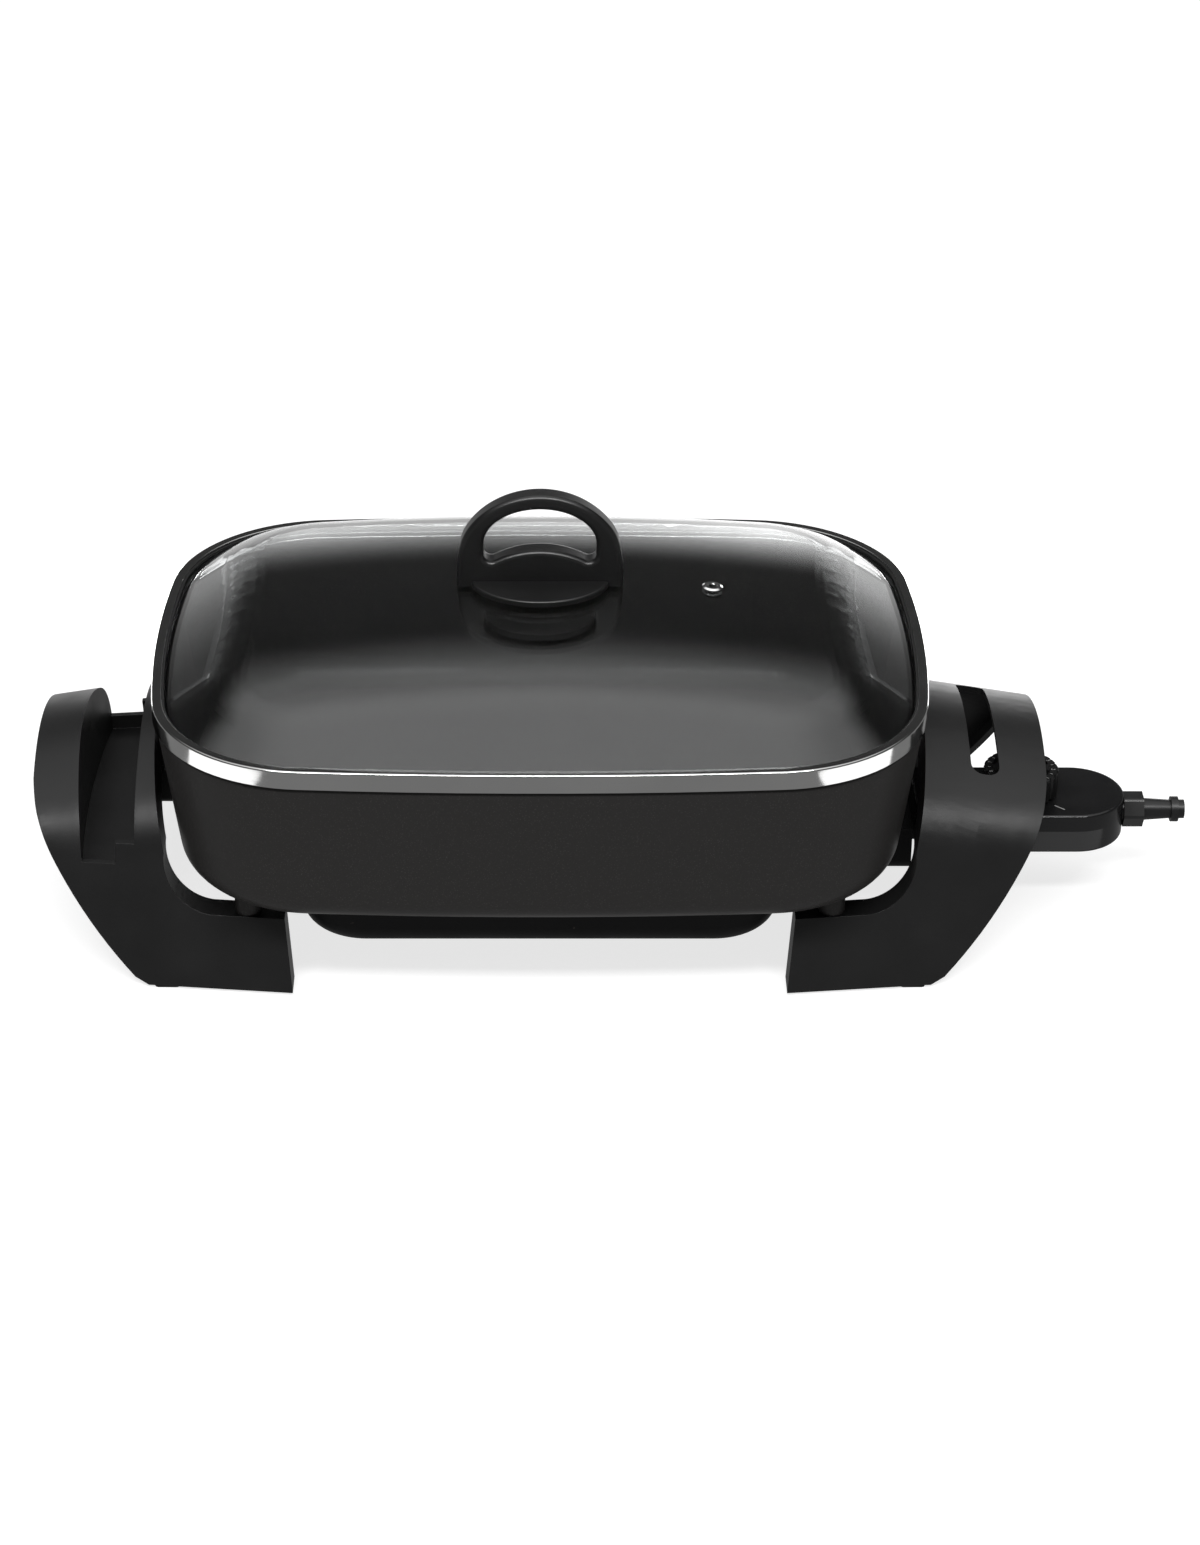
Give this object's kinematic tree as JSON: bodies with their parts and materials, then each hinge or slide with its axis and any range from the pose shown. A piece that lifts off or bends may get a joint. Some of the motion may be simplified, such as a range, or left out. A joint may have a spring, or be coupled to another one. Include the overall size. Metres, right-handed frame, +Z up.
{
  "type": "electric skillet",
  "caption": "Rectangular electric skillet with lift-off domed glass lid, arched side handles that serve as feet, and a plug-in thermostat probe with a dial.",
  "frame": {"origin": "on the table, under the middle of the whole part's length and depth", "axes": "+X along the long side towards the probe, +Y towards the back, +Z up"},
  "size_m": [0.6068, 0.29, 0.234],
  "materials": {
    "pan_coating": "satin non-stick coating",
    "element_steel": "dull heat-stained steel",
    "pressed_steel": "matt black heat-resistant paint",
    "steel": "zinc plated",
    "rim_steel": "polished",
    "ceramic": "unglazed ceramic",
    "brass": "plain",
    "handle_plastic": "fine matt grain",
    "probe_plastic": "glossy",
    "dial_plastic": "satin",
    "rubber": "matt",
    "lens": "translucent amber-red",
    "lid_glass": "clear tempered"
  },
  "bodies": {
    "base": {"pan": "pan_coating", "heating_element": "element_steel", "element_cover": "pressed_steel", "cover_screws": "steel", "terminal_bushes": "ceramic", "terminal_pins": "steel", "socket_shroud": "pressed_steel", "shroud_screws": "steel", "right_handle": "handle_plastic", "left_handle": "handle_plastic", "leg_spacers": "pan_coating", "leg_screws": "steel", "side_bracket": "handle_plastic", "bracket_screws": "steel", "foot_pads": "rubber"},
    "lid": {"lid_glass": "lid_glass", "lid_rim": "rim_steel", "rim_seal": "rubber", "vent_grommet": "rim_steel", "lid_knob": "handle_plastic", "knob_gasket": "rubber", "knob_washer": "steel", "knob_screw": "steel"},
    "probe": {"probe_lower_case": "probe_plastic", "probe_upper_case": "probe_plastic", "indicator_lens": "lens", "sensor_rod": "steel", "contact_sleeves": "brass", "case_screws": "steel", "thermostat_frame": "steel", "bimetal_blade": "brass", "switch_blades": "brass", "cord_gland": "handle_plastic", "strain_relief": "rubber"},
    "dial": {"dial": "dial_plastic", "dial_shaft": "steel"}
  },
  "joints": [
    {"name": "lid_lift", "type": "slide", "parent": "base", "child": "lid", "axis": [0, 0, 1], "range_m": [0, 0.2]},
    {"name": "probe_pull", "type": "slide", "parent": "base", "child": "probe", "axis": [1, 0, 0], "range_m": [0, 0.1]},
    {"name": "dial_turn", "type": "hinge", "parent": "probe", "child": "dial", "pos_m": [0.21525, 0, 0.06], "axis": [0, 0, 1], "range_deg": [-270, 0]}
  ]
}
